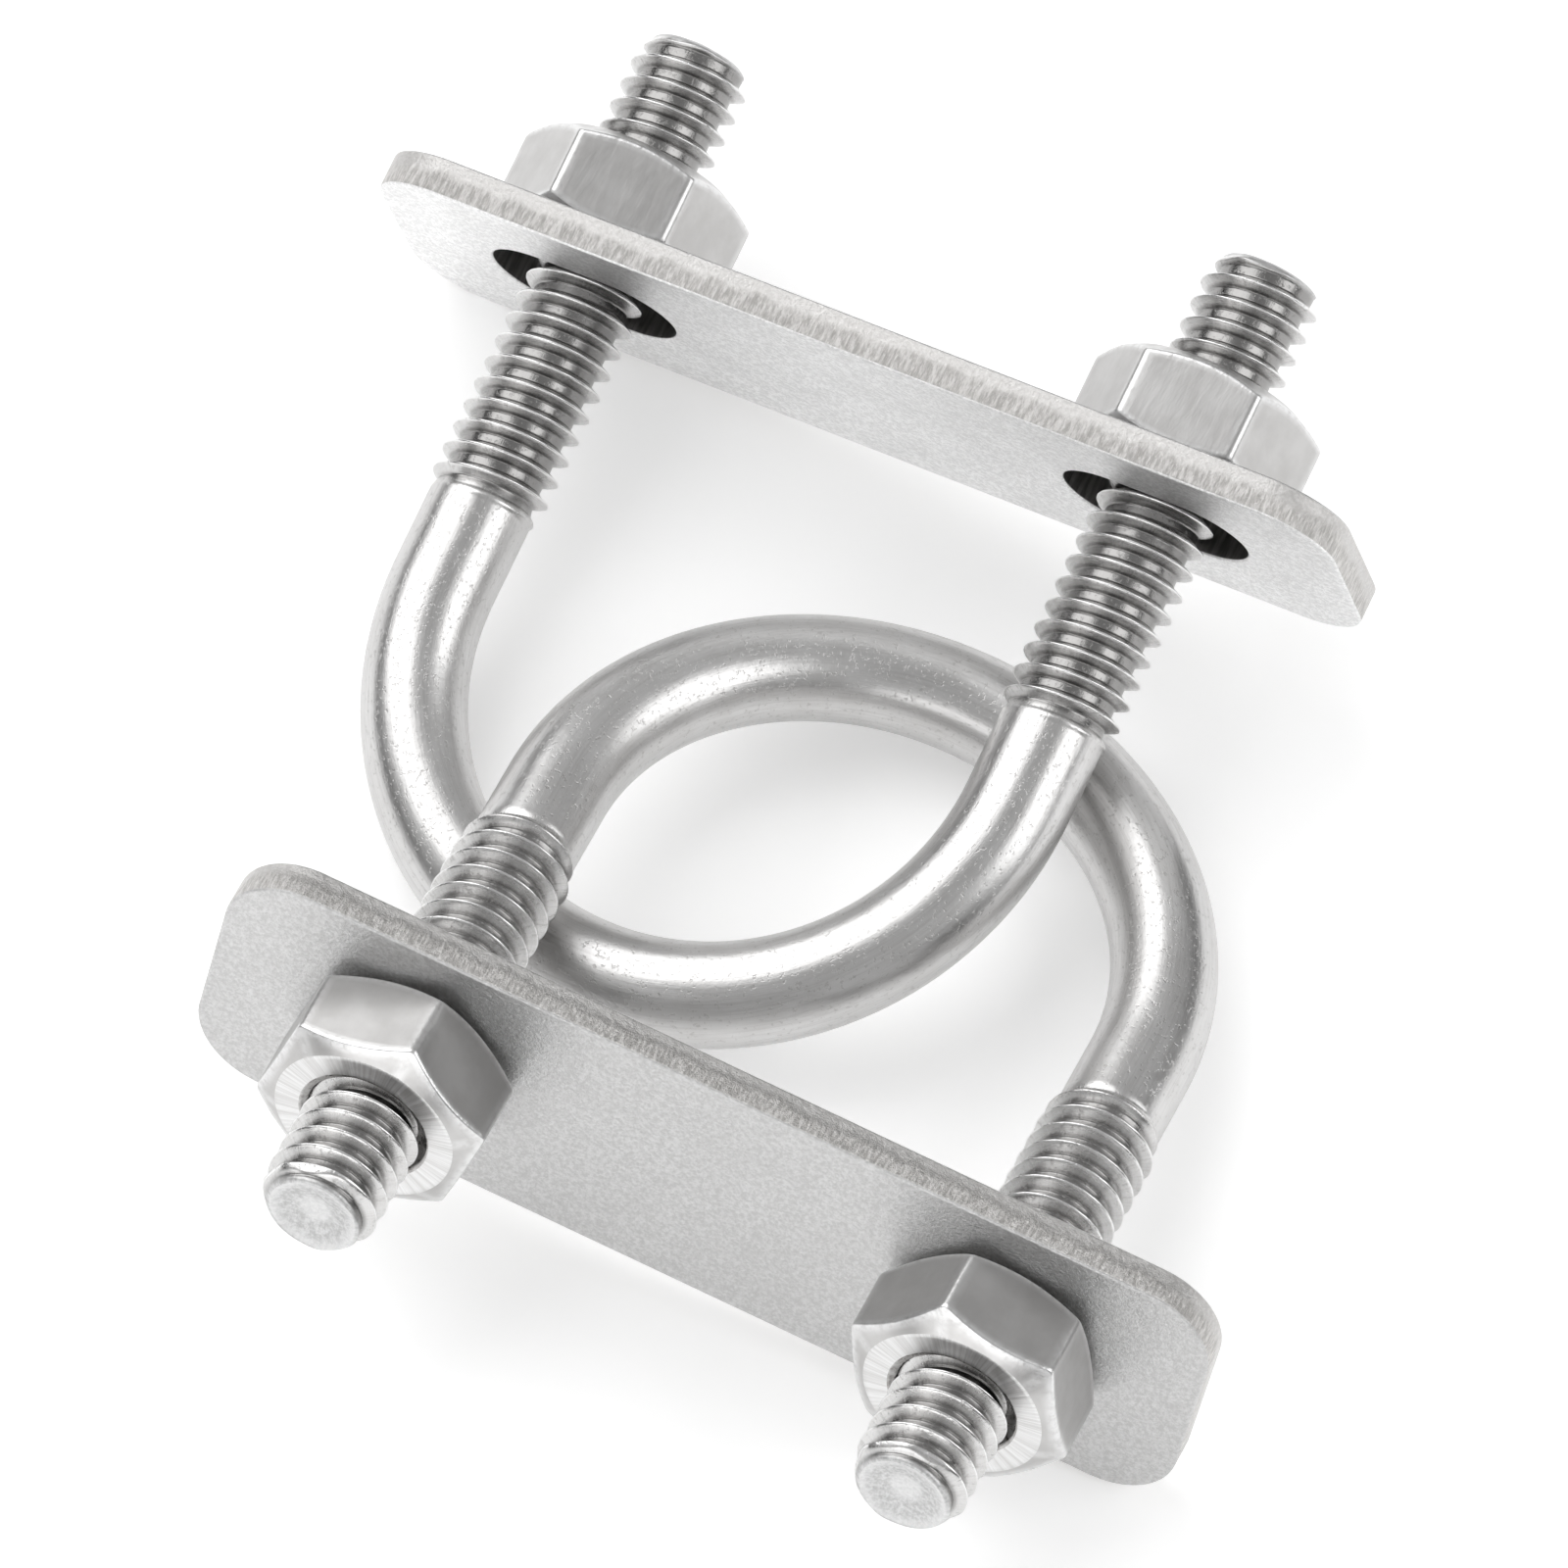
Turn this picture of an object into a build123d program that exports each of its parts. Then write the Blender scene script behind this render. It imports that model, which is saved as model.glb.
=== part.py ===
from build123d import *
import math
import os

# A linked pair of threaded U-bolt pipe clamps. Each clamp is one bent rod with two threaded legs,
# one flat strap plate with two slots and two hex nuts. All sizes are in millimetres.

# ---- thread: 1/4 in. - 20 UNC, rolled ----
THREAD_DIA = 6.35
THREAD_PITCH = 1.27
ROOT_DIA = 4.90
SHANK_DIA = 5.60
CREST_WIDTH = 0.20
ROOT_WIDTH = 1.12
ROOT_BITE = 0.12
TIP_CHAMFER = 0.55

# ---- U-bolt ----
LEG_SPACING = 33.0
LEG_LENGTH = 31.0
THREAD_START = 4.4

# ---- strap plate ----
PLATE_LENGTH = 55.0
PLATE_WIDTH = 15.9
PLATE_THICKNESS = 2.0
PLATE_CORNER_RADIUS = 4.0
SLOT_LENGTH = 10.5
SLOT_WIDTH = 6.8
PLATE_BREAK = 0.25

# ---- hex nut, 7/16 in. across flats ----
NUT_ACROSS_FLATS = 11.11
NUT_HEIGHT = 5.4
NUT_CHAMFER_DEG = 30.0
NUT_FACE_SHARE = 0.875
NUT_COUNTERSINK = 0.65
THREAD_GAP = 0.12
TAP_OVERRUN = 0.5

# ---- where each part sits along the legs of its clamp, from the centre of the bend ----
UPPER_PLATE_AT = 16.8
LOWER_PLATE_AT = 17.0
SEAT_GAP = 0.05

# ---- how far each nut is turned about its leg, in degrees, left nut then right nut ----
UPPER_NUT_TURNS = (11.0, 7.0)
LOWER_NUT_TURNS = (19.0, 49.0)

# ---- how the two linked clamps lie: centre of each bend, and its turns about X, Y and Z ----
UPPER_AT = (-5.87, 4.77, 6.75)
UPPER_TURN = (-77.75, -0.3, -6.4)
LOWER_AT = (5.43, -4.89, 6.56)
LOWER_TURN = (78.2, 1.8, -5.2)

LEG_X = LEG_SPACING / 2


def thread_ridge(root_radius, crest_radius, root_width, crest_width, start, turns):
    """One helical ridge round the Z axis, reaching from just inside root_radius to crest_radius."""
    helix = Helix(pitch=THREAD_PITCH, height=turns * THREAD_PITCH, radius=root_radius, center=(0, 0, start))
    corners = [
        (root_radius - ROOT_BITE, 0, start - root_width / 2),
        (crest_radius, 0, start - crest_width / 2),
        (crest_radius, 0, start + crest_width / 2),
        (root_radius - ROOT_BITE, 0, start + root_width / 2),
    ]
    profile = make_face(Polyline(*corners, close=True).edges())
    return sweep(profile, path=helix, is_frenet=True)


def leg_envelope():
    """Everything the thread may fill: a short run-out cone at its start and a chamfer at its tip."""
    beyond = THREAD_DIA / 2 + 1.0
    tip_radius = THREAD_DIA / 2 - TIP_CHAMFER
    run_out = beyond - SHANK_DIA / 2
    outline = [
        (0, THREAD_START),
        (SHANK_DIA / 2, THREAD_START),
        (beyond, THREAD_START + run_out),
        (beyond, LEG_LENGTH - (beyond - tip_radius)),
        (tip_radius, LEG_LENGTH),
        (0, LEG_LENGTH),
    ]
    return revolve(Plane.XZ * make_face(Polyline(*outline, close=True).edges()), Axis.Z)


def threaded_leg():
    """One straight leg on the Z axis: plain shank, rolled thread, and a chamfered tip."""
    thread_length = LEG_LENGTH - THREAD_START
    turns = math.ceil(thread_length / THREAD_PITCH) + 2
    ridge = thread_ridge(
        ROOT_DIA / 2, THREAD_DIA / 2, ROOT_WIDTH, CREST_WIDTH, THREAD_START - THREAD_PITCH, turns
    )
    core = Cylinder(ROOT_DIA / 2, LEG_LENGTH, align=(Align.CENTER, Align.CENTER, Align.MIN))
    shank = Cylinder(SHANK_DIA / 2, THREAD_START, align=(Align.CENTER, Align.CENTER, Align.MIN))
    return core + (ridge & leg_envelope()) + shank


def u_bolt():
    """Bent rod: two threaded legs joined by a half-circle bend on the minus Z side."""
    leg = threaded_leg()
    half_bend = CenterArc((0, 0, 0), LEG_X, 180, 180)
    bend_path = Plane.XZ * half_bend
    section = Plane(origin=(LEG_X, 0, 0), z_dir=(0, 0, -1)) * Circle(SHANK_DIA / 2)
    bend = sweep(section, path=bend_path)
    return bend + Pos(LEG_X, 0, 0) * leg + Pos(-LEG_X, 0, 0) * leg


def strap_plate():
    """Flat strap with rounded corners and two slots; its inner face lies at Z = 0."""
    outline = RectangleRounded(PLATE_LENGTH, PLATE_WIDTH, PLATE_CORNER_RADIUS)
    slots = [Pos(side * LEG_X, 0) * SlotOverall(SLOT_LENGTH, SLOT_WIDTH) for side in (-1, 1)]
    plate = extrude(outline - slots, PLATE_THICKNESS)
    rims = plate.edges().group_by(Axis.Z)[0] + plate.edges().group_by(Axis.Z)[-1]
    return chamfer(rims, PLATE_BREAK)


def nut_blank():
    """Hexagon standing on Z = 0 with its corners cut back by a cone on both faces."""
    hexagon = extrude(RegularPolygon(NUT_ACROSS_FLATS / 2, 6, major_radius=False), NUT_HEIGHT)
    corner_radius = NUT_ACROSS_FLATS / math.sqrt(3)
    face_radius = NUT_ACROSS_FLATS / 2 * NUT_FACE_SHARE
    drop = (corner_radius - face_radius) * math.tan(math.radians(NUT_CHAMFER_DEG))
    outline = [
        (0, 0),
        (face_radius, 0),
        (corner_radius, drop),
        (corner_radius, NUT_HEIGHT - drop),
        (face_radius, NUT_HEIGHT),
        (0, NUT_HEIGHT),
    ]
    return hexagon & revolve(Plane.XZ * make_face(Polyline(*outline, close=True).edges()), Axis.Z)


def nut_tap():
    """The space a nut leaves for its bolt: bore, helical groove and a countersink at each face."""
    bore_radius = ROOT_DIA / 2 + THREAD_GAP
    groove_radius = THREAD_DIA / 2 + THREAD_GAP
    mouth_radius = groove_radius + THREAD_GAP
    upwards = (Align.CENTER, Align.CENTER, Align.MIN)
    bore = Pos(0, 0, -THREAD_PITCH) * Cylinder(bore_radius, NUT_HEIGHT + 2 * THREAD_PITCH, align=upwards)
    groove = thread_ridge(
        bore_radius,
        groove_radius,
        ROOT_WIDTH + THREAD_GAP,
        CREST_WIDTH + 2 * THREAD_GAP,
        -THREAD_PITCH,
        math.ceil(NUT_HEIGHT / THREAD_PITCH) + 2,
    )
    reach = Pos(0, 0, -TAP_OVERRUN) * Cylinder(
        2 * groove_radius, NUT_HEIGHT + 2 * TAP_OVERRUN, align=upwards
    )
    lower_sink = Cone(mouth_radius, bore_radius, NUT_COUNTERSINK, align=upwards)
    upper_sink = Pos(0, 0, NUT_HEIGHT - NUT_COUNTERSINK) * Cone(
        bore_radius, mouth_radius, NUT_COUNTERSINK, align=upwards
    )
    return bore + (groove & reach), lower_sink, upper_sink


def hex_nut(flats_turn):
    """Hex nut on Z = 0 whose hexagon is turned by flats_turn degrees against its thread."""
    screw_space, lower_sink, upper_sink = nut_tap()
    return Rot(0, 0, flats_turn) * nut_blank() - screw_space - lower_sink - upper_sink


def seated_nut(side, seat, turn):
    """A nut screwed down to the height seat on the leg at side, with its threads in mesh."""
    screw_turn = (seat - THREAD_START) / THREAD_PITCH * 360 % 360
    return Pos(side * LEG_X, 0, seat) * Rot(0, 0, screw_turn) * hex_nut(turn - screw_turn)


def clamp(name, plate_at, nut_turns):
    """One clamp in its own frame: bend centre at the origin, legs along +Z, one leg on each X side."""
    seat = plate_at + PLATE_THICKNESS + SEAT_GAP
    return {
        f"{name}_u_bolt": u_bolt(),
        f"{name}_plate": Pos(0, 0, plate_at) * strap_plate(),
        f"{name}_left_nut": seated_nut(-1, seat, nut_turns[0]),
        f"{name}_right_nut": seated_nut(1, seat, nut_turns[1]),
    }


def export_pieces():
    """Write one STEP file per piece, with both clamps laid down and linked."""
    os.makedirs("parts", exist_ok=True)
    clamps = (
        (clamp("upper", UPPER_PLATE_AT, UPPER_NUT_TURNS), Location(UPPER_AT, UPPER_TURN)),
        (clamp("lower", LOWER_PLATE_AT, LOWER_NUT_TURNS), Location(LOWER_AT, LOWER_TURN)),
    )
    for pieces, place in clamps:
        for name, piece in pieces.items():
            export_step(place * piece, f"parts/{name}.step")


export_pieces()
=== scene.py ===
import math
from functools import cache

import bpy
import numpy as np
from mathutils import Matrix, Vector


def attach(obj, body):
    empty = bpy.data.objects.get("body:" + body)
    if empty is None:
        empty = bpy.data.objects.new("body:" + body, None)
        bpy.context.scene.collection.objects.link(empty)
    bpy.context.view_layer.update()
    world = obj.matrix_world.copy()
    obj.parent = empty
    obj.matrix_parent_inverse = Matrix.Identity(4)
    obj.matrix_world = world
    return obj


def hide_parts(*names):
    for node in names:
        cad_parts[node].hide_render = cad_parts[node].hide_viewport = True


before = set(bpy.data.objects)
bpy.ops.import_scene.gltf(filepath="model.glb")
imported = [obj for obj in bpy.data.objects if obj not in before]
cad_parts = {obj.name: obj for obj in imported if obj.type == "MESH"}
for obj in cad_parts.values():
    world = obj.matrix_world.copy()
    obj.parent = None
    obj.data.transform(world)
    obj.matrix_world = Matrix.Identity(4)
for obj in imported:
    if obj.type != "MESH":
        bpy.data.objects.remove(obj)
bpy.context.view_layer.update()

# All lengths of the hardware below are in millimetres, in the frame of one clamp: the centre of its
# bend is the origin, its legs run along +Z, and one leg stands on each X side.
MM = 0.001

# ---- thread ----
PITCH = 1.27
CREST_RADIUS = 3.16
ROOT_RADIUS = 2.46
SHANK_RADIUS = 2.79
CREST_HALF = 0.03
ROOT_HALF = 0.19
THREAD_START = 4.4
THREAD_LEAD = 0.5
RUN_OUT = 1.1

# ---- U-bolt ----
LEG_X = 16.5
LEG_LENGTH = 30.97
TIP_RADIUS = 2.62
TIP_RUN = 1.3
TIP_ROUND = 0.32
TIP_DISH = 0.6
TIP_FADE = 0.10
TIP_MARGIN = 0.02
RIM_UNEVEN = 0.07
BEND_THINNING = 0.012

# ---- strap plate ----
PLATE_LENGTH = 55.0
PLATE_WIDTH = 15.9
PLATE_THICKNESS = 2.0
PLATE_CORNER = 4.0
PLATE_BREAK = 0.16
SLOT_LENGTH = 10.5
SLOT_WIDTH = 6.8

# ---- hex nut ----
NUT_FLATS = 11.1
NUT_HEIGHT = 5.4
NUT_CORNER_ROUND = 0.45
NUT_FACE_RADIUS = 4.86
NUT_CHAMFER_DEG = 30.0
NUT_EDGE_ROUND = 0.16
NUT_MOUTH_RADIUS = 3.5
NUT_MOUTH_DEPTH = 0.75
NUT_BORE_RADIUS = 2.60
NUT_GROOVE_DEPTH = 0.68
SEAT_GAP = 0.05

# ---- how finely the skins are divided ----
ROD_COLUMNS = 80
ROWS_PER_PITCH = 22
BEND_ROWS = 128
END_SHARES = (0.004, 0.12, 0.25, 0.4, 0.55, 0.68, 0.8, 0.9, 0.97)

# ---- where the grain of the metal is sampled ----
ROD_GRAIN_RADIUS = 3.0
STRAP_GRAIN_SHIFT = (0.31, 0.17, 0.13)
NUT_GRAIN_STEP = 20.0

# ---- how the two clamps lie, and where their plates and nuts sit ----
CLAMPS = {
    "upper": {
        "at": (-5.87, 4.77, 6.75),
        "turn": (-77.75, -0.3, -6.4),
        "plate_at": 16.8,
        "torn_side": "inner",
        "nut_turns": (11.0, 7.0),
    },
    "lower": {
        "at": (5.43, -4.89, 6.56),
        "turn": (78.2, 1.8, -5.2),
        "plate_at": 17.0,
        "torn_side": "outer",
        "nut_turns": (19.0, 49.0),
    },
}


def turn_matrix(degrees):
    """Rotation by turns about X, then the turned Y, then the turned Z."""
    x, y, z = (math.radians(turn) for turn in degrees)
    return np.array(Matrix.Rotation(x, 3, "X") @ Matrix.Rotation(y, 3, "Y") @ Matrix.Rotation(z, 3, "Z"))


def smooth(edge0, edge1, value):
    """0 below edge0, 1 above edge1, and an S-shaped ramp between."""
    share = np.clip((value - edge0) / (edge1 - edge0), 0.0, 1.0)
    return share * share * (3 - 2 * share)


# ------------------------------------------------------------------ mesh helpers


def ring_faces(rings, columns, closed=False):
    """Quads between rings of equal size; closed also joins the last ring to the first."""
    row, column = np.meshgrid(np.arange(rings if closed else rings - 1), np.arange(columns), indexing="ij")
    this_ring = row * columns
    next_ring = (row + 1) % rings * columns
    next_column = (column + 1) % columns
    corners = (this_ring + column, this_ring + next_column, next_ring + next_column, next_ring + column)
    return np.stack(corners, axis=-1).reshape(-1, 4).tolist()


def add_values(mesh, values):
    """Store numbers or vectors on the points of a mesh, for its shaders to read by name."""
    for name, data in values.items():
        data = np.asarray(data, np.float32)
        if data.ndim == 2:
            mesh.attributes.new(name, "FLOAT_VECTOR", "POINT").data.foreach_set("vector", data.ravel())
        else:
            mesh.attributes.new(name, "FLOAT", "POINT").data.foreach_set("value", data)


def make_piece(name, clamp, points, faces, values, materials, face_materials=None):
    """A mesh object whose points, given in a clamp's own frame, are placed in the shared one."""
    place = CLAMPS[clamp]
    placed = points @ turn_matrix(place["turn"]).T + np.array(place["at"])
    mesh = bpy.data.meshes.new(name)
    mesh.from_pydata((placed * MM).tolist(), [], faces)
    add_values(mesh, values)
    for material in materials:
        mesh.materials.append(material)
    if face_materials is not None:
        mesh.polygons.foreach_set("material_index", np.asarray(face_materials, np.int32))
    mesh.shade_smooth()
    mesh.update()
    piece = bpy.data.objects.new(name, mesh)
    bpy.context.scene.collection.objects.link(piece)
    return piece


def thread_height(z, angle):
    """0 in the root and 1 on the crest of a right-hand thread, at height z and angle in radians."""
    phase = (z - THREAD_START) / PITCH - angle / (2 * math.pi)
    away = np.abs(phase - np.round(phase))
    return np.clip((0.5 - ROOT_HALF - away) / (0.5 - ROOT_HALF - CREST_HALF), 0.0, 1.0)


# ------------------------------------------------------------------ U-bolt


class RodSkin:
    """The skin of a bent rod, collected ring by ring along it, with the values its shader reads."""

    def __init__(self):
        self.around = np.linspace(0, 2 * math.pi, ROD_COLUMNS, endpoint=False)
        self.spokes = np.column_stack([np.cos(self.around), np.sin(self.around)])
        self.points = []
        self.grain = []
        self.crest = []
        self.tip = []

    def ring(self, centre, outward, radius, run, crest=0.5, tip=0.0, lift=0.0, share=1.0):
        """A ring round centre that starts on the outward side, at the distance run along the rod."""
        spokes = self.spokes @ np.array([outward, (0, 1, 0)])
        lifted = np.reshape(lift, (-1, 1)) * np.array((0, 0, 1))
        self.points.append(np.array(centre) + spokes * np.reshape(radius, (-1, 1)) + lifted)
        grain_radius = ROD_GRAIN_RADIUS * share
        self.grain.append(np.column_stack([grain_radius * self.spokes, np.full(ROD_COLUMNS, run)]))
        self.crest.append(np.broadcast_to(crest, ROD_COLUMNS))
        self.tip.append(np.full(ROD_COLUMNS, tip))

    def piece(self, name, clamp):
        """The finished skin as an object, closed by a small face at each end."""
        points = np.concatenate(self.points)
        faces = ring_faces(len(self.points), ROD_COLUMNS)
        faces.append(list(range(ROD_COLUMNS))[::-1])
        faces.append(list(range(len(points) - ROD_COLUMNS, len(points))))
        values = {
            "grain": np.concatenate(self.grain),
            "crest": np.concatenate(self.crest),
            "tip": np.concatenate(self.tip),
        }
        return make_piece(name, clamp, points, faces, values, [drawn_rod_material()])


def leg_heights():
    """Heights from the bend to the tip, close enough together to keep the crests crisp."""
    return np.arange(0.0, LEG_LENGTH - TIP_MARGIN, PITCH / ROWS_PER_PITCH)


def leg_angle(skin, side):
    """Angle of each column about its leg, from local X, given that rings start on the outer side."""
    return skin.around if side > 0 else math.pi - skin.around


def leg_run(side, z):
    """Distance along the rod from the left end of the bend to height z on a leg."""
    return math.pi * LEG_X + z if side > 0 else -z


def leg_radius(z, angle, around):
    """Radius of a leg: plain shank, thread run-out, full thread, and a ragged, fading last turn."""
    started = smooth(THREAD_START - THREAD_LEAD, THREAD_START + RUN_OUT, z)
    threaded = ROOT_RADIUS + (CREST_RADIUS - ROOT_RADIUS) * thread_height(z, angle)
    radius = SHANK_RADIUS + (threaded - SHANK_RADIUS) * started
    below_tip = LEG_LENGTH - z
    ragged = 0.16 * np.sin(3 * around + 0.7) + 0.1 * np.sin(7 * around + 2.1)
    limit = TIP_RADIUS + (CREST_RADIUS - TIP_RADIUS) * smooth(0.0, TIP_RUN, below_tip + ragged)
    if z > THREAD_START + RUN_OUT:
        radius = np.maximum(radius, ROOT_RADIUS + TIP_FADE * (1 - smooth(0.2, TIP_RUN, below_tip)))
    beyond = 1 - min(below_tip / TIP_ROUND, 1)
    return np.minimum(radius, limit) - TIP_ROUND * (1 - math.sqrt(1 - beyond ** 2))


def add_leg(skin, side):
    """Threaded leg: from its tip to the bend on the left, from the bend to its tip on the right."""
    angle = leg_angle(skin, side)
    for z in leg_heights()[::side]:
        started = float(smooth(THREAD_START - THREAD_LEAD, THREAD_START + RUN_OUT, z))
        crest = thread_height(z, angle) * started + 0.5 * (1 - started)
        near_tip = float(smooth(LEG_LENGTH - 0.5, LEG_LENGTH, z))
        radius = leg_radius(z, angle, skin.around)
        skin.ring((side * LEG_X, 0, z), (side, 0, 0), radius, leg_run(side, z), crest, near_tip)


def add_end(skin, side):
    """Dished end of a leg, with a slightly uneven rim, a painted highlight on its rim and centre, and
    painted shade in a band half way in.
    """
    height = leg_heights()[-1]
    rim = leg_radius(height, leg_angle(skin, side), skin.around)
    for share in END_SHARES[::-side]:
        uneven = RIM_UNEVEN * np.sin(2 * skin.around + 1) * share ** 2
        lift = TIP_MARGIN / 2 + uneven - TIP_DISH * (1 - share ** 2) ** 1.2
        # Painted highlight on the rim and centre of the end, with painted shade half way in, passed to the
        # shader as its crest value.
        painted_end_highlight = min(1.0, abs(share - 0.6) / 0.35)
        centre = (side * LEG_X, 0, height)
        skin.ring(centre, (side, 0, 0), rim * share, leg_run(side, LEG_LENGTH), painted_end_highlight, 1.0, lift, share)


def add_bend(skin):
    """Half-circle bend, drawn down a little where it was stretched."""
    for bend in np.linspace(0, math.pi, BEND_ROWS)[1:-1]:
        outward = np.array((-math.cos(bend), 0, -math.sin(bend)))
        radius = SHANK_RADIUS * (1 - BEND_THINNING * math.sin(bend))
        skin.ring(outward * LEG_X, outward, radius, bend * LEG_X)


def u_bolt(clamp):
    """The bent rod, with real helical ridges on both legs."""
    skin = RodSkin()
    add_end(skin, -1)
    add_leg(skin, -1)
    add_bend(skin)
    add_leg(skin, 1)
    add_end(skin, 1)
    return skin.piece(f"{clamp}_bent_rod", clamp)


# ------------------------------------------------------------------ strap plate


def thick_outline(loops, thickness):
    """Mesh of a flat outline with holes, thickened about Z = 0 with its edges broken all round."""
    curve = bpy.data.curves.new("outline", "CURVE")
    curve.dimensions = "2D"
    curve.fill_mode = "BOTH"
    curve.extrude = thickness / 2 - PLATE_BREAK
    curve.bevel_depth = PLATE_BREAK
    curve.bevel_resolution = 3
    curve.offset = -PLATE_BREAK
    for loop in loops:
        flat_points = np.column_stack([loop, np.zeros(len(loop)), np.ones(len(loop))])
        spline = curve.splines.new("POLY")
        spline.points.add(len(loop) - 1)
        spline.points.foreach_set("co", flat_points.ravel())
        spline.use_cyclic_u = True
    carrier = bpy.data.objects.new("outline", curve)
    bpy.context.scene.collection.objects.link(carrier)
    bpy.context.view_layer.update()
    mesh = bpy.data.meshes.new_from_object(carrier.evaluated_get(bpy.context.evaluated_depsgraph_get()))
    bpy.data.objects.remove(carrier)
    bpy.data.curves.remove(curve)
    return mesh


def rounded_loop(half_x, half_y, radius, steps=20):
    """Corner points of a rectangle with round corners, counter-clockwise."""
    loop = []
    for quarter, (sign_x, sign_y) in enumerate(((1, 1), (-1, 1), (-1, -1), (1, -1))):
        for step in range(steps + 1):
            angle = math.pi / 2 * (quarter + step / steps)
            x = sign_x * (half_x - radius) + radius * math.cos(angle)
            y = sign_y * (half_y - radius) + radius * math.sin(angle)
            loop.append((x, y))
    return np.array(loop)


def strap_finish(polygon):
    """Which of a strap's three materials a polygon takes: 0 face, 1 sheared side, 2 slot wall."""
    if abs(polygon.normal.z) > 0.5:
        return 0
    x, y = polygon.center.xy
    from_leg = abs(abs(x) - LEG_X)
    in_slot = abs(y) < SLOT_WIDTH / 2 + PLATE_BREAK and from_leg < SLOT_LENGTH / 2 + PLATE_BREAK
    return 2 if in_slot else 1


def strap_plate(clamp):
    """Slotted strap: blasted faces, sheared sides and punched slot walls each get their own finish."""
    slot = rounded_loop(SLOT_LENGTH / 2, SLOT_WIDTH / 2, SLOT_WIDTH / 2 - 0.001)
    loops = [rounded_loop(PLATE_LENGTH / 2, PLATE_WIDTH / 2, PLATE_CORNER)]
    loops += [slot + np.array((side * LEG_X, 0)) for side in (-1, 1)]
    flat = thick_outline(loops, PLATE_THICKNESS)
    own = np.array([vertex.co for vertex in flat.vertices]) + np.array((0, 0, PLATE_THICKNESS / 2))
    faces = [list(polygon.vertices) for polygon in flat.polygons]
    finishes = [strap_finish(polygon) for polygon in flat.polygons]
    bpy.data.meshes.remove(flat)
    through = own[:, 2] if CLAMPS[clamp]["torn_side"] == "inner" else PLATE_THICKNESS - own[:, 2]
    # Noise fades out on its own lattice planes, and an unshifted face would lie on one of them.
    values = {"grain": own + np.array(STRAP_GRAIN_SHIFT), "through": through}
    points = own + np.array((0, 0, CLAMPS[clamp]["plate_at"]))
    materials = [blasted_material(), sheared_material(), slot_wall_material()]
    piece = make_piece(f"{clamp}_strap", clamp, points, faces, values, materials, finishes)
    piece.data.shade_flat()
    return piece


# ------------------------------------------------------------------ hex nut

NUT_SIDE, NUT_FACE, NUT_BORE = range(3)


def hexagon_outline():
    """Points round a hexagon with slightly rounded corners, the first corner at angle 0."""
    reach = (NUT_FLATS / 2 - NUT_CORNER_ROUND) / math.cos(math.pi / 6)
    along_flat = np.array((0.01, *np.linspace(0.06, 0.94, 22), 0.99))[:, None]
    arcs = []
    for corner in np.arange(6) * math.pi / 3:
        turns = corner + np.linspace(-math.pi / 6, math.pi / 6, 7)
        centre = reach * np.array((math.cos(corner), math.sin(corner)))
        arcs.append(centre + NUT_CORNER_ROUND * np.column_stack([np.cos(turns), np.sin(turns)]))
    outline = []
    for arc, next_arc in zip(arcs, arcs[1:] + arcs[:1]):
        outline += [arc, arc[-1] + (next_arc[0] - arc[-1]) * along_flat]
    return np.concatenate(outline)


def nut_bore_rings(seat, screw_angle):
    """Rings up the threaded bore, widened at each mouth."""
    rings = []
    for z in np.linspace(0, NUT_HEIGHT, 62):
        thread = NUT_BORE_RADIUS + NUT_GROOVE_DEPTH * thread_height(z + seat, screw_angle)
        sink = max(0.0, 1 - min(z, NUT_HEIGHT - z) / NUT_MOUTH_DEPTH)
        mouth = NUT_BORE_RADIUS + (NUT_MOUTH_RADIUS - NUT_BORE_RADIUS) * sink
        rings.append((np.maximum(thread, mouth), z, NUT_BORE))
    return rings


def nut_end_rings(far):
    """Rings from the mouth of the bore out to the side, each with its depth below the end face."""
    slope = math.tan(math.radians(NUT_CHAMFER_DEG))
    cone_end = far - 0.55 * NUT_EDGE_ROUND
    cone_depth = (cone_end - NUT_FACE_RADIUS) * slope
    side_depth = (far - NUT_FACE_RADIUS) * slope + NUT_EDGE_ROUND
    rings = []
    for share in (0.06, 0.3, 0.6, 0.85, 1.0):
        radius = NUT_MOUTH_RADIUS + (NUT_FACE_RADIUS - NUT_MOUTH_RADIUS) * share
        rings.append((radius, 0.0, NUT_FACE))
    for share in (0.05, 0.35, 0.65, 0.9):
        radius = NUT_FACE_RADIUS + (cone_end - NUT_FACE_RADIUS) * share
        rings.append((radius, cone_depth * share, NUT_SIDE))
    for turn in np.radians((0, 25, 50, 75, 90)):
        depth = cone_depth + (side_depth - cone_depth) * (1 - math.cos(turn))
        rings.append((cone_end + (far - cone_end) * math.sin(turn), depth, NUT_SIDE))
    return rings, side_depth


def nut_rings(far, seat, screw_angle):
    """All rings of a nut as radius, height and finish: up the bore, then down the outside."""
    end_rings, side_depth = nut_end_rings(far)
    side_height = NUT_HEIGHT - 2 * side_depth
    rings = nut_bore_rings(seat, screw_angle)
    rings += [(radius, NUT_HEIGHT - depth, finish) for radius, depth, finish in end_rings]
    for share in (0.99, *np.linspace(0.94, 0.06, 8), 0.01):
        rings.append((far, side_depth + side_height * share, NUT_SIDE))
    return rings + end_rings[::-1]


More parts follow.
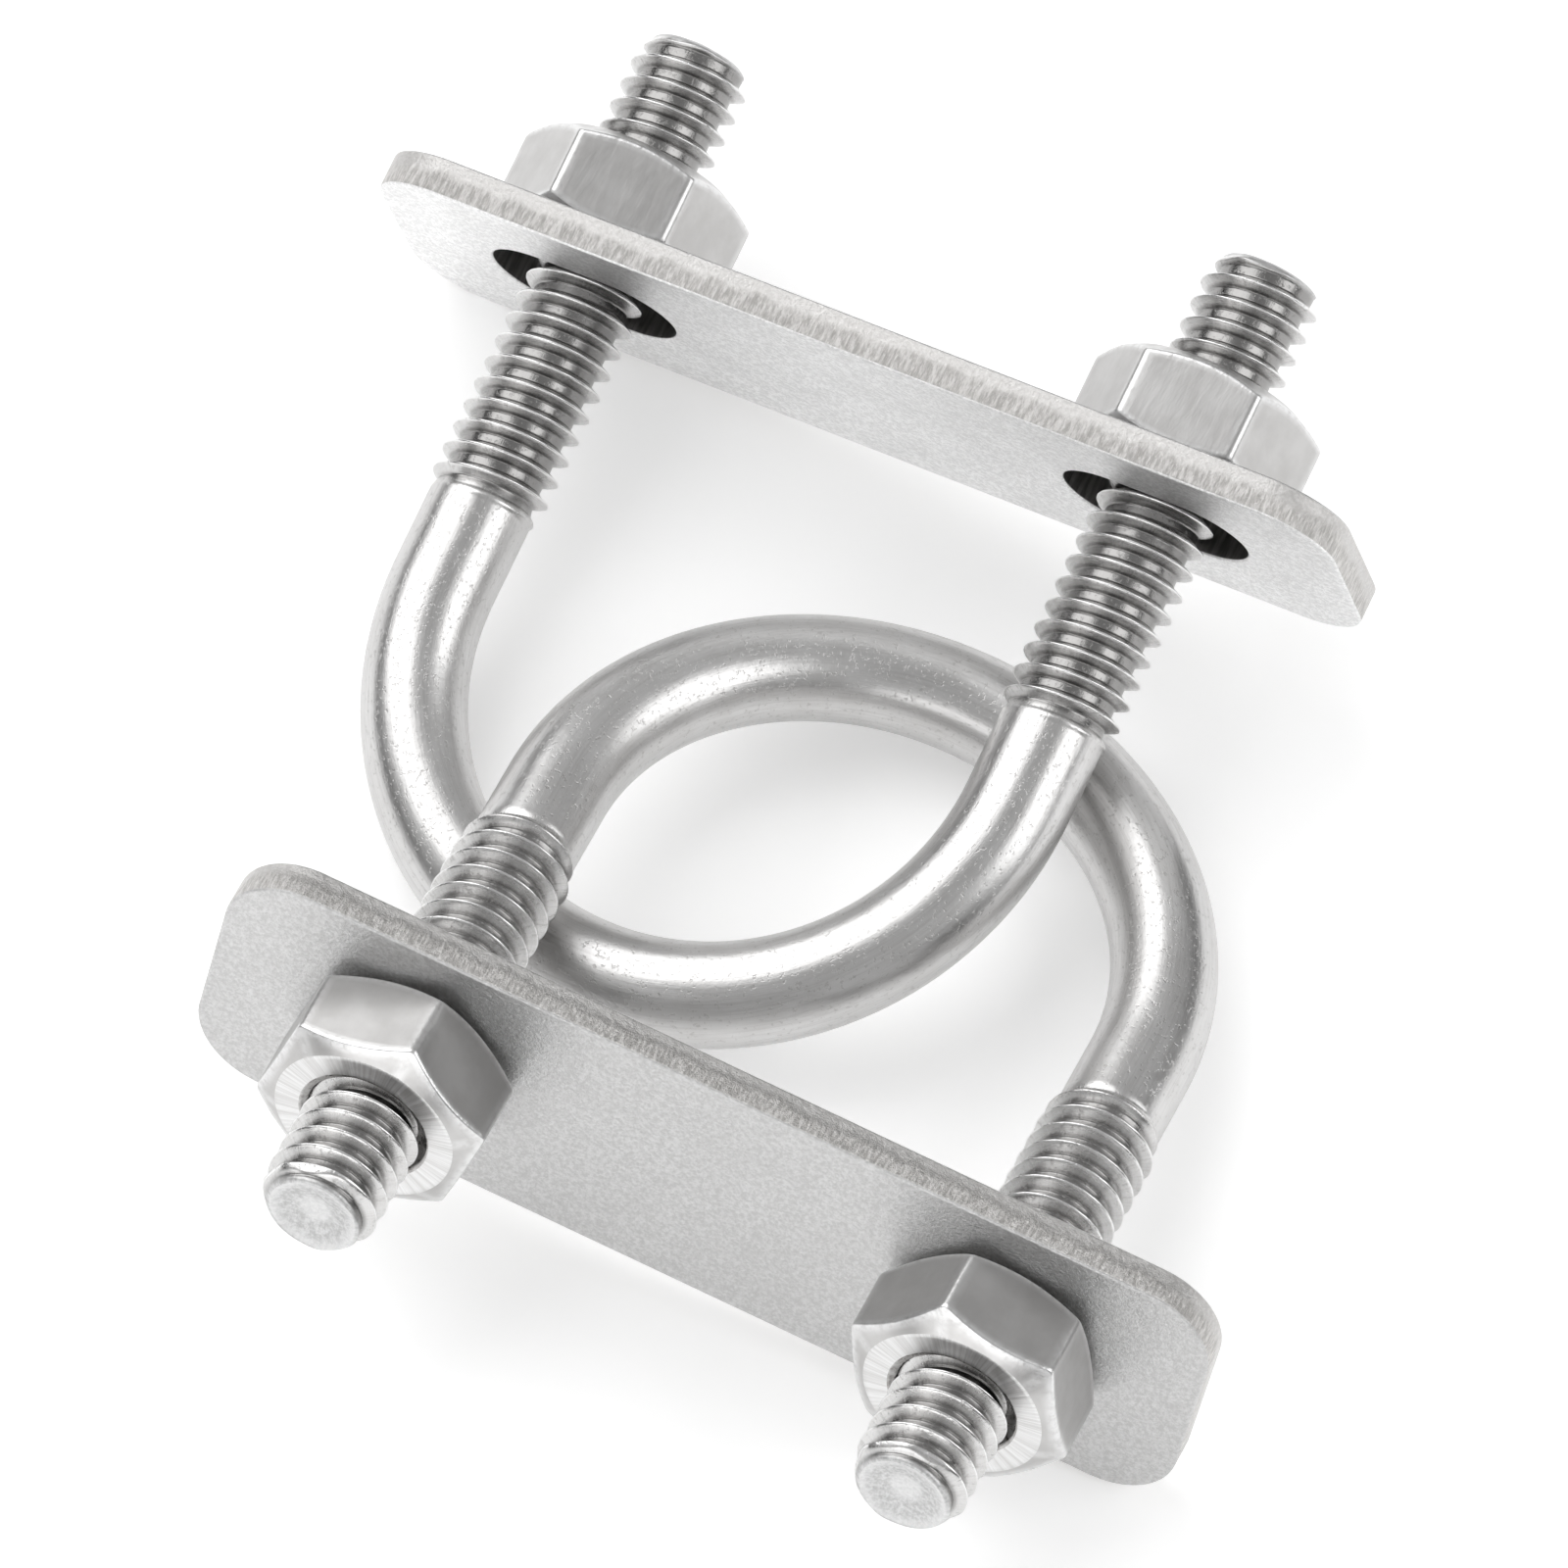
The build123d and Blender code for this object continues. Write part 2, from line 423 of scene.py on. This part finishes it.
def nut_wear_and_highlight(far, height, finish):
    """How much each point of a nut is lightened, as rubbed wear and as a painted highlight: most on the
    rims of the flats, less on their corners.
    """
    corner_radius = NUT_FLATS / math.sqrt(3)
    corner = smooth(corner_radius - 0.26, corner_radius - 0.09, far)
    drop = (far - NUT_FACE_RADIUS) * math.tan(math.radians(NUT_CHAMFER_DEG))
    from_rim = np.minimum(np.abs(height - drop), np.abs(NUT_HEIGHT - drop - height))
    wear_and_highlight = np.maximum(0.5 * corner, 1 - smooth(0.05, 0.34, from_rim))
    return np.where(finish == NUT_SIDE, wear_and_highlight, 0.0)


def hex_nut(clamp, side, name):
    """Chamfered nut with a threaded, countersunk bore, seated on its plate."""
    index = 0 if side < 0 else 1
    seat = CLAMPS[clamp]["plate_at"] + PLATE_THICKNESS + SEAT_GAP
    outline = hexagon_outline()
    far = np.hypot(outline[:, 0], outline[:, 1])
    angle = np.arctan2(outline[:, 1], outline[:, 0]) + math.radians(CLAMPS[clamp]["nut_turns"][index])
    rings = nut_rings(far, seat, angle)
    radius = np.concatenate([np.broadcast_to(ring[0], len(far)) for ring in rings])
    height = np.concatenate([np.broadcast_to(ring[1], len(far)) for ring in rings])
    finish = np.repeat([ring[2] for ring in rings], len(far))
    spin = np.column_stack([np.cos(angle), np.sin(angle)])
    spin = np.tile(spin, (len(rings), 1))
    own = np.column_stack([spin * radius[:, None], height])
    values = {
        "grain": own + NUT_GRAIN_STEP * (index + 1),
        "spin": np.column_stack([spin, 0.05 * radius]),
        "wear_and_highlight": nut_wear_and_highlight(np.tile(far, len(rings)), height, finish),
    }
    materials = [nut_side_material(), nut_face_material(), nut_bore_material()]
    points = own + np.array((side * LEG_X, 0, seat))
    faces = ring_faces(len(rings), len(far), closed=True)
    return make_piece(f"{clamp}_{name}_hex", clamp, points, faces, values, materials, finish)


# ------------------------------------------------------------------ materials


class Shader:
    """A material under construction. Values passed about are either numbers or node outputs."""

    def __init__(self, name):
        self.material = bpy.data.materials.new(name)
        self.material.use_nodes = True
        self.tree = self.material.node_tree
        self.surface = self.tree.nodes["Principled BSDF"]

    def node(self, kind, settings=None, **inputs):
        """A new node with its settings made and its named inputs joined."""
        made = self.tree.nodes.new(kind)
        for key, value in (settings or {}).items():
            setattr(made, key, value)
        for key, value in inputs.items():
            self.join(value, made.inputs[key.replace("_", " ")])
        return made

    def join(self, value, socket):
        """Link a node output to a socket, or set the socket itself to a plain value."""
        if isinstance(value, bpy.types.NodeSocket):
            self.tree.links.new(value, socket)
        else:
            socket.default_value = value

    def attribute(self, name):
        """Reader of a value stored on the points of the mesh."""
        return self.node("ShaderNodeAttribute", {"attribute_name": name})

    def stretched(self, vector, scale):
        """A vector scaled along each axis, which draws the noise sampled there out or together."""
        return self.node("ShaderNodeMapping", Vector=vector, Scale=scale).outputs["Vector"]

    def noise(self, vector, scale, detail=4.0, rough=0.6):
        """Cloudy noise, mostly between 0.3 and 0.7."""
        made = self.node("ShaderNodeTexNoise", Vector=vector, Scale=scale, Detail=detail, Roughness=rough)
        return made.outputs["Fac"]

    def ramp(self, value, low, high, to_low=0.0, to_high=1.0):
        """An S-shaped step from to_low to to_high while the value goes from low to high."""
        made = self.node("ShaderNodeMapRange", {"interpolation_type": "SMOOTHSTEP"}, Value=value)
        made.inputs["From Min"].default_value = low
        made.inputs["From Max"].default_value = high
        made.inputs["To Min"].default_value = to_low
        made.inputs["To Max"].default_value = to_high
        return made.outputs["Result"]

    def maths(self, operation, first, second=0.0):
        """One step of arithmetic on one or two values."""
        made = self.node("ShaderNodeMath", {"operation": operation})
        self.join(first, made.inputs[0])
        self.join(second, made.inputs[1])
        return made.outputs[0]

    def total(self, *parts):
        """Sum of any number of (value, weight) pairs."""
        result = 0.0
        for value, weight in parts:
            made = self.node("ShaderNodeMath", {"operation": "MULTIPLY_ADD"})
            self.join(value, made.inputs[0])
            self.join(weight, made.inputs[1])
            self.join(result, made.inputs[2])
            result = made.outputs[0]
        return result

    def blend(self, share, first, second):
        """The first colour where share is 0 and the second where it is 1."""
        made = self.node("ShaderNodeMix", {"data_type": "RGBA"})
        self.join(share, made.inputs["Factor"])
        self.join(first, made.inputs["A"])
        self.join(second, made.inputs["B"])
        return made.outputs["Result"]

    def bump(self, height, strength, distance):
        """Normals bent by a height, which stands for distance in metres where it is 1."""
        made = self.node("ShaderNodeBump", Height=height, Strength=strength, Distance=distance)
        return made.outputs["Normal"]

    def arris(self, through):
        """1 on the edges of a strap, where its side turns over into either face, lightened as rubbed wear
        and as a painted highlight.
        """
        from_middle = self.maths("ABSOLUTE", self.maths("SUBTRACT", through, PLATE_THICKNESS / 2))
        return self.ramp(from_middle, PLATE_THICKNESS / 2 - 0.14, PLATE_THICKNESS / 2 - 0.04, 0.0, 0.8)

    def finish(self, colour, roughness, normal, metallic=1.0):
        """The finished material."""
        self.join(colour, self.surface.inputs["Base Color"])
        self.join(roughness, self.surface.inputs["Roughness"])
        self.join(normal, self.surface.inputs["Normal"])
        self.surface.inputs["Metallic"].default_value = metallic
        return self.material


def grey(level, warmth=0.0):
    """A grey, made slightly yellow by warmth."""
    return (level * (1 + warmth), level, level * (1 - warmth), 1.0)


@cache
def drawn_rod_material():
    """Polished drawn stainless rod: faint marks along it, pits, painted shade in the thread roots, painted
    highlights on the rolled crests, blasted ends with painted highlights on their rims and centres.
    """
    shader = Shader("drawn_stainless_rod")
    grain = shader.attribute("grain").outputs["Vector"]
    crest = shader.attribute("crest").outputs["Fac"]
    tip = shader.attribute("tip").outputs["Fac"]
    lines = shader.noise(shader.stretched(grain, (3.0, 3.0, 0.09)), 2.2, 6.0, 0.65)
    fine = shader.noise(shader.stretched(grain, (9.0, 9.0, 0.35)), 2.5, 3.0, 0.6)
    clouds = shader.noise(grain, 0.35, 5.0, 0.6)
    pits = shader.ramp(shader.noise(grain, 4.2, 3.0, 0.6), 0.57, 0.68)
    peel = shader.noise(grain, 1.5, 3.0, 0.55)
    blast = shader.noise(grain, 3.6, 4.0, 0.7)
    tone = shader.blend(shader.ramp(clouds, 0.3, 0.7), grey(0.60, 0.010), grey(0.65, 0.006))
    tone = shader.blend(shader.ramp(lines, 0.45, 0.65, 0.0, 0.35), tone, grey(0.44, 0.02))
    tone = shader.blend(shader.ramp(pits, 0.0, 1.0, 0.0, 0.5), tone, grey(0.40, 0.02))
    # Painted shade: the thread roots are darkened where shade falls between the crests.
    tone = shader.blend(shader.ramp(crest, 0.48, 0.05, 0.0, 0.85), tone, grey(0.22, 0.02))
    # Painted highlight: the thread crests are lightened.
    tone = shader.blend(shader.ramp(crest, 0.88, 1.0, 0.0, 0.7), tone, grey(0.86))
    end_tone = shader.blend(shader.ramp(blast, 0.35, 0.65), grey(0.50), grey(0.70))
    # Painted highlight on the rim and centre of each blasted end, with painted shade in a band half way
    # in.
    end_tone = shader.blend(shader.ramp(crest, 0.2, 1.0, 0.0, 0.5), end_tone, grey(0.80))
    tone = shader.blend(tip, tone, end_tone)
    satin = shader.ramp(fine, 0.3, 0.8, 0.275, 0.31)
    cloudy = shader.ramp(clouds, 0.3, 0.8)
    ridged = shader.maths("ABSOLUTE", shader.maths("SUBTRACT", crest, 0.5))
    rough = shader.total((satin, 1.0), (cloudy, 0.02), (ridged, -0.17), (tip, 0.28))
    blasted = shader.maths("MULTIPLY", blast, tip)
    height = shader.total((lines, 0.35), (fine, 0.25), (peel, 0.8), (pits, -0.6), (blasted, 3.5))
    return shader.finish(tone, rough, shader.bump(height, 0.35, 0.00004))


@cache
def blasted_material():
    """Plate faces: tumbled stainless with a fine speckle, the inner face painted lighter and the outer
    face painted darker, as lit and shaded copies of one finish.
    """
    shader = Shader("tumbled_stainless_face")
    grain = shader.attribute("grain").outputs["Vector"]
    speckle = shader.noise(grain, 4.4, 4.0, 0.8)
    fine = shader.noise(grain, 7.0, 2.0, 0.6)
    clouds = shader.noise(grain, 0.22, 4.0, 0.55)
    rolled = shader.noise(shader.stretched(grain, (0.12, 2.4, 1.0)), 1.6, 4.0, 0.6)
    outer = shader.ramp(shader.node("ShaderNodeSeparateXYZ", Vector=grain).outputs["Z"], 0.5, 1.5)
    lit_inner_tone = shader.blend(shader.ramp(speckle, 0.42, 0.60), grey(0.75), grey(1.0))
    shaded_outer_tone = shader.blend(shader.ramp(speckle, 0.38, 0.64), grey(0.50, 0.004), grey(0.65, 0.002))
    # Painted light: the inner face takes a lit tone and the outer face a shaded tone of the same finish.
    tone = shader.blend(outer, lit_inner_tone, shaded_outer_tone)
    tone = shader.blend(shader.ramp(clouds, 0.35, 0.7, 0.0, 0.15), tone, grey(0.48, 0.01))
    satin = shader.ramp(speckle, 0.3, 0.7, 0.28, 0.31)
    rough = shader.total((satin, 1.0), (shader.ramp(rolled, 0.3, 0.7), 0.02))
    height = shader.total((speckle, 1.0), (fine, 0.5))
    return shader.finish(tone, rough, shader.bump(height, 0.7, 0.00007))


@cache
def sheared_material():
    """Sheared side: a burnished band along one face, then torn metal with upright striations."""
    shader = Shader("sheared_stainless_side")
    grain = shader.attribute("grain").outputs["Vector"]
    through = shader.attribute("through").outputs["Fac"]
    wander = shader.noise(shader.stretched(grain, (1.0, 1.0, 0.0)), 0.6, 3.0, 0.6)
    level = shader.total((through, 1.0), (shader.ramp(wander, 0.2, 0.8, -1.0, 1.0), 0.28))
    torn = shader.ramp(level, 0.85, 1.45, 1.0, 0.0)
    stripes = shader.noise(shader.stretched(grain, (1.0, 1.0, 0.22)), 6.5, 4.0, 0.7)
    crumbs = shader.noise(grain, 4.5, 4.0, 0.75)
    sparkle = shader.noise(grain, 8.0, 2.0, 0.6)
    torn_tone = shader.blend(shader.ramp(stripes, 0.36, 0.66), grey(0.40, 0.03), grey(0.68, 0.02))
    smooth_tone = shader.blend(shader.ramp(crumbs, 0.35, 0.7), grey(0.50, 0.02), grey(0.64, 0.015))
    tone = shader.blend(torn, smooth_tone, torn_tone)
    tone = shader.blend(shader.ramp(sparkle, 0.62, 0.78, 0.0, 0.5), tone, grey(0.84, 0.01))
    # Partly rubbed wear, partly painted highlight: the arrises along both faces are lightened.
    tone = shader.blend(shader.arris(through), tone, grey(0.86))
    rough = shader.total((shader.ramp(crumbs, 0.3, 0.8, 0.32, 0.46), 1.0), (torn, 0.06))
    height = shader.total((shader.maths("MULTIPLY", stripes, torn), 1.6), (crumbs, 0.9))
    return shader.finish(tone, rough, shader.bump(height, 0.7, 0.00010))


@cache
def slot_wall_material():
    """Punched slot wall: dull, painted dark as shade inside the slot, scored along the punch stroke."""
    shader = Shader("punched_slot_wall")
    grain = shader.attribute("grain").outputs["Vector"]
    stripes = shader.noise(shader.stretched(grain, (1.0, 1.0, 0.1)), 4.0, 3.0, 0.6)
    # Painted shade: the slot wall is darkened as shade falls inside the slot.
    tone = shader.blend(shader.ramp(stripes, 0.35, 0.7), grey(0.18, 0.03), grey(0.32, 0.02))
    rough = shader.ramp(stripes, 0.3, 0.7, 0.32, 0.48)
    return shader.finish(tone, rough, shader.bump(stripes, 0.5, 0.00008))


@cache
def nut_side_material():
    """Cold-formed nut flats: satin, faint drag marks, lightened along the rims of the flats and on the
    corners, partly rubbed wear and partly painted highlight.
    """
    shader = Shader("satin_stainless_nut")
    grain = shader.attribute("grain").outputs["Vector"]
    wear_and_highlight = shader.attribute("wear_and_highlight").outputs["Fac"]
    drag = shader.noise(shader.stretched(grain, (0.9, 0.9, 0.25)), 2.6, 5.0, 0.62)
    clouds = shader.noise(grain, 0.5, 4.0, 0.55)
    nicks = shader.ramp(shader.noise(shader.stretched(grain, (1.0, 1.0, 0.5)), 3.2, 3.0), 0.70, 0.80)
    patchy = shader.ramp(shader.noise(grain, 2.4, 3.0), 0.25, 0.6, 0.35, 1.0)
    ragged = shader.maths("MULTIPLY", wear_and_highlight, patchy)
    tone = shader.blend(shader.ramp(clouds, 0.3, 0.7), grey(0.46, 0.014), grey(0.53, 0.010))
    tone = shader.blend(shader.ramp(nicks, 0.0, 1.0, 0.0, 0.2), tone, grey(0.36, 0.03))
    # Partly rubbed wear, partly painted highlight: the rims and corners of the flats are lightened.
    tone = shader.blend(ragged, tone, grey(0.74))
    rough = shader.total((shader.ramp(drag, 0.3, 0.7, 0.29, 0.34), 1.0), (ragged, -0.01))
    height = shader.total((drag, 0.5), (ragged, 0.9), (nicks, -0.25))
    return shader.finish(tone, rough, shader.bump(height, 0.3, 0.00005))


@cache
def nut_face_material():
    """Nut end face: a narrow annulus scored with fine radial lines."""
    shader = Shader("turned_nut_face")
    spin = shader.attribute("spin").outputs["Vector"]
    lines = shader.noise(shader.stretched(spin, (11.0, 11.0, 1.0)), 2.4, 4.0, 0.7)
    tone = shader.blend(shader.ramp(lines, 0.35, 0.65), grey(0.58, 0.01), grey(0.76))
    rough = shader.ramp(lines, 0.3, 0.7, 0.28, 0.34)
    return shader.finish(tone, rough, shader.bump(lines, 0.4, 0.00004))


@cache
def nut_bore_material():
    """Cut thread inside a nut: painted darker as shade inside the bore, with smeared patches."""
    shader = Shader("tapped_nut_bore")
    grain = shader.attribute("grain").outputs["Vector"]
    smears = shader.noise(grain, 2.0, 4.0, 0.6)
    # Painted shade: the whole bore is darkened as shade falls inside the nut.
    tone = shader.blend(shader.ramp(smears, 0.35, 0.7), grey(0.30, 0.03), grey(0.55, 0.01))
    rough = shader.ramp(smears, 0.3, 0.7, 0.22, 0.36)
    return shader.finish(tone, rough, shader.bump(smears, 0.3, 0.00005))


def floor_material():
    """Pale matt table with the faintest tooth, lit a little from below."""
    shader = Shader("pale_floor")
    where = shader.node("ShaderNodeTexCoord").outputs["Object"]
    tooth = shader.noise(where, 900.0, 2.0, 0.5)
    tone = shader.blend(tooth, grey(0.95), grey(0.97))
    shader.surface.inputs["Emission Color"].default_value = grey(1.0)
    shader.surface.inputs["Emission Strength"].default_value = 0.3
    return shader.finish(tone, 0.85, shader.bump(tooth, 0.05, 0.00002), metallic=0.0)


# ------------------------------------------------------------------ assembly


def stand_in(piece, node):
    """Show a piece in place of its CAD node, riding on the body of the same name."""
    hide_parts(node)
    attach(piece, node)


def build_clamp(clamp):
    """All pieces of one clamp."""
    stand_in(u_bolt(clamp), f"{clamp}_u_bolt")
    stand_in(strap_plate(clamp), f"{clamp}_plate")
    stand_in(hex_nut(clamp, -1, "left"), f"{clamp}_left_nut")
    stand_in(hex_nut(clamp, 1, "right"), f"{clamp}_right_nut")


# ------------------------------------------------------------------ studio

# Brightness of the tent of light, by the sine of the height above the horizon.
TENT_STOPS = ((0.0, 0.02), (0.22, 0.05), (0.36, 0.36), (0.65, 0.55), (1.0, 0.42))

# The camera looks at a point half way up the part: how far round from the front it stands, how far
# down from overhead, how far it is rolled, and how far away it is, in degrees and metres.
CAMERA_AIM = (-0.000225, -0.000714, 0.0105)
CAMERA_ROUND = 24.121
CAMERA_DOWN = 28.204
CAMERA_ROLL = 1.822
CAMERA_AWAY = 1.3119
CAMERA_LENS = 590.6


def add_floor():
    """A plain pale floor under the part."""
    mesh = bpy.data.meshes.new("floor")
    reach = 2.5
    corners = [(-reach, -reach, 0), (reach, -reach, 0), (reach, reach, 0), (-reach, reach, 0)]
    mesh.from_pydata(corners, [], [(0, 1, 2, 3)])
    mesh.materials.append(floor_material())
    floor = bpy.data.objects.new("floor", mesh)
    bpy.context.scene.collection.objects.link(floor)


def add_softbox(name, place, width, depth, power):
    """One rectangular studio light that points at the part."""
    light = bpy.data.lights.new(name, "AREA")
    light.shape = "RECTANGLE"
    light.size = width
    light.size_y = depth
    light.energy = power
    lamp = bpy.data.objects.new(name, light)
    lamp.location = place
    lamp.rotation_euler = (-Vector(place)).to_track_quat("-Z", "Y").to_euler()
    bpy.context.scene.collection.objects.link(lamp)


def add_surround():
    """White tent of light with a dark band low down, which gives the steel its dark streaks."""
    world = bpy.data.worlds.new("studio")
    world.use_nodes = True
    bpy.context.scene.world = world
    tree = world.node_tree
    background = tree.nodes["Background"]
    where = tree.nodes.new("ShaderNodeTexCoord")
    split = tree.nodes.new("ShaderNodeSeparateXYZ")
    ramp = tree.nodes.new("ShaderNodeValToRGB")
    tree.links.new(where.outputs["Generated"], split.inputs["Vector"])
    tree.links.new(split.outputs["Z"], ramp.inputs["Fac"])
    tree.links.new(ramp.outputs["Color"], background.inputs["Color"])
    elements = ramp.color_ramp.elements
    while len(elements) < len(TENT_STOPS):
        elements.new(0.5)
    for element, (place, level) in zip(elements, TENT_STOPS):
        element.position = place
        element.color = grey(level)


def add_camera():
    """Camera high in front of the part, rolled so that the straps fall away to the right."""
    camera_data = bpy.data.cameras.new("camera")
    camera_data.sensor_width = 36.0
    camera_data.lens = CAMERA_LENS
    camera_data.clip_end = 20.0
    camera = bpy.data.objects.new("camera", camera_data)
    swing = Matrix.Rotation(math.radians(CAMERA_ROUND), 4, "Z")
    tilt = Matrix.Rotation(math.radians(CAMERA_DOWN), 4, "X")
    roll = Matrix.Rotation(math.radians(CAMERA_ROLL), 4, "Z")
    away = Matrix.Translation((0, 0, CAMERA_AWAY))
    camera.matrix_world = Matrix.Translation(CAMERA_AIM) @ swing @ tilt @ roll @ away
    bpy.context.scene.collection.objects.link(camera)
    bpy.context.scene.camera = camera


for clamp_name in CLAMPS:
    build_clamp(clamp_name)

add_floor()
add_surround()
add_softbox("key", (-0.9, 0.35, 1.15), 1.5, 1.5, 14.0)
add_softbox("fill", (1.05, 0.25, 0.7), 0.9, 0.9, 5.0)
add_softbox("front", (-0.1, -1.1, 0.45), 1.4, 0.6, 4.5)
add_camera()
bpy.context.scene.view_settings.view_transform = "Standard"
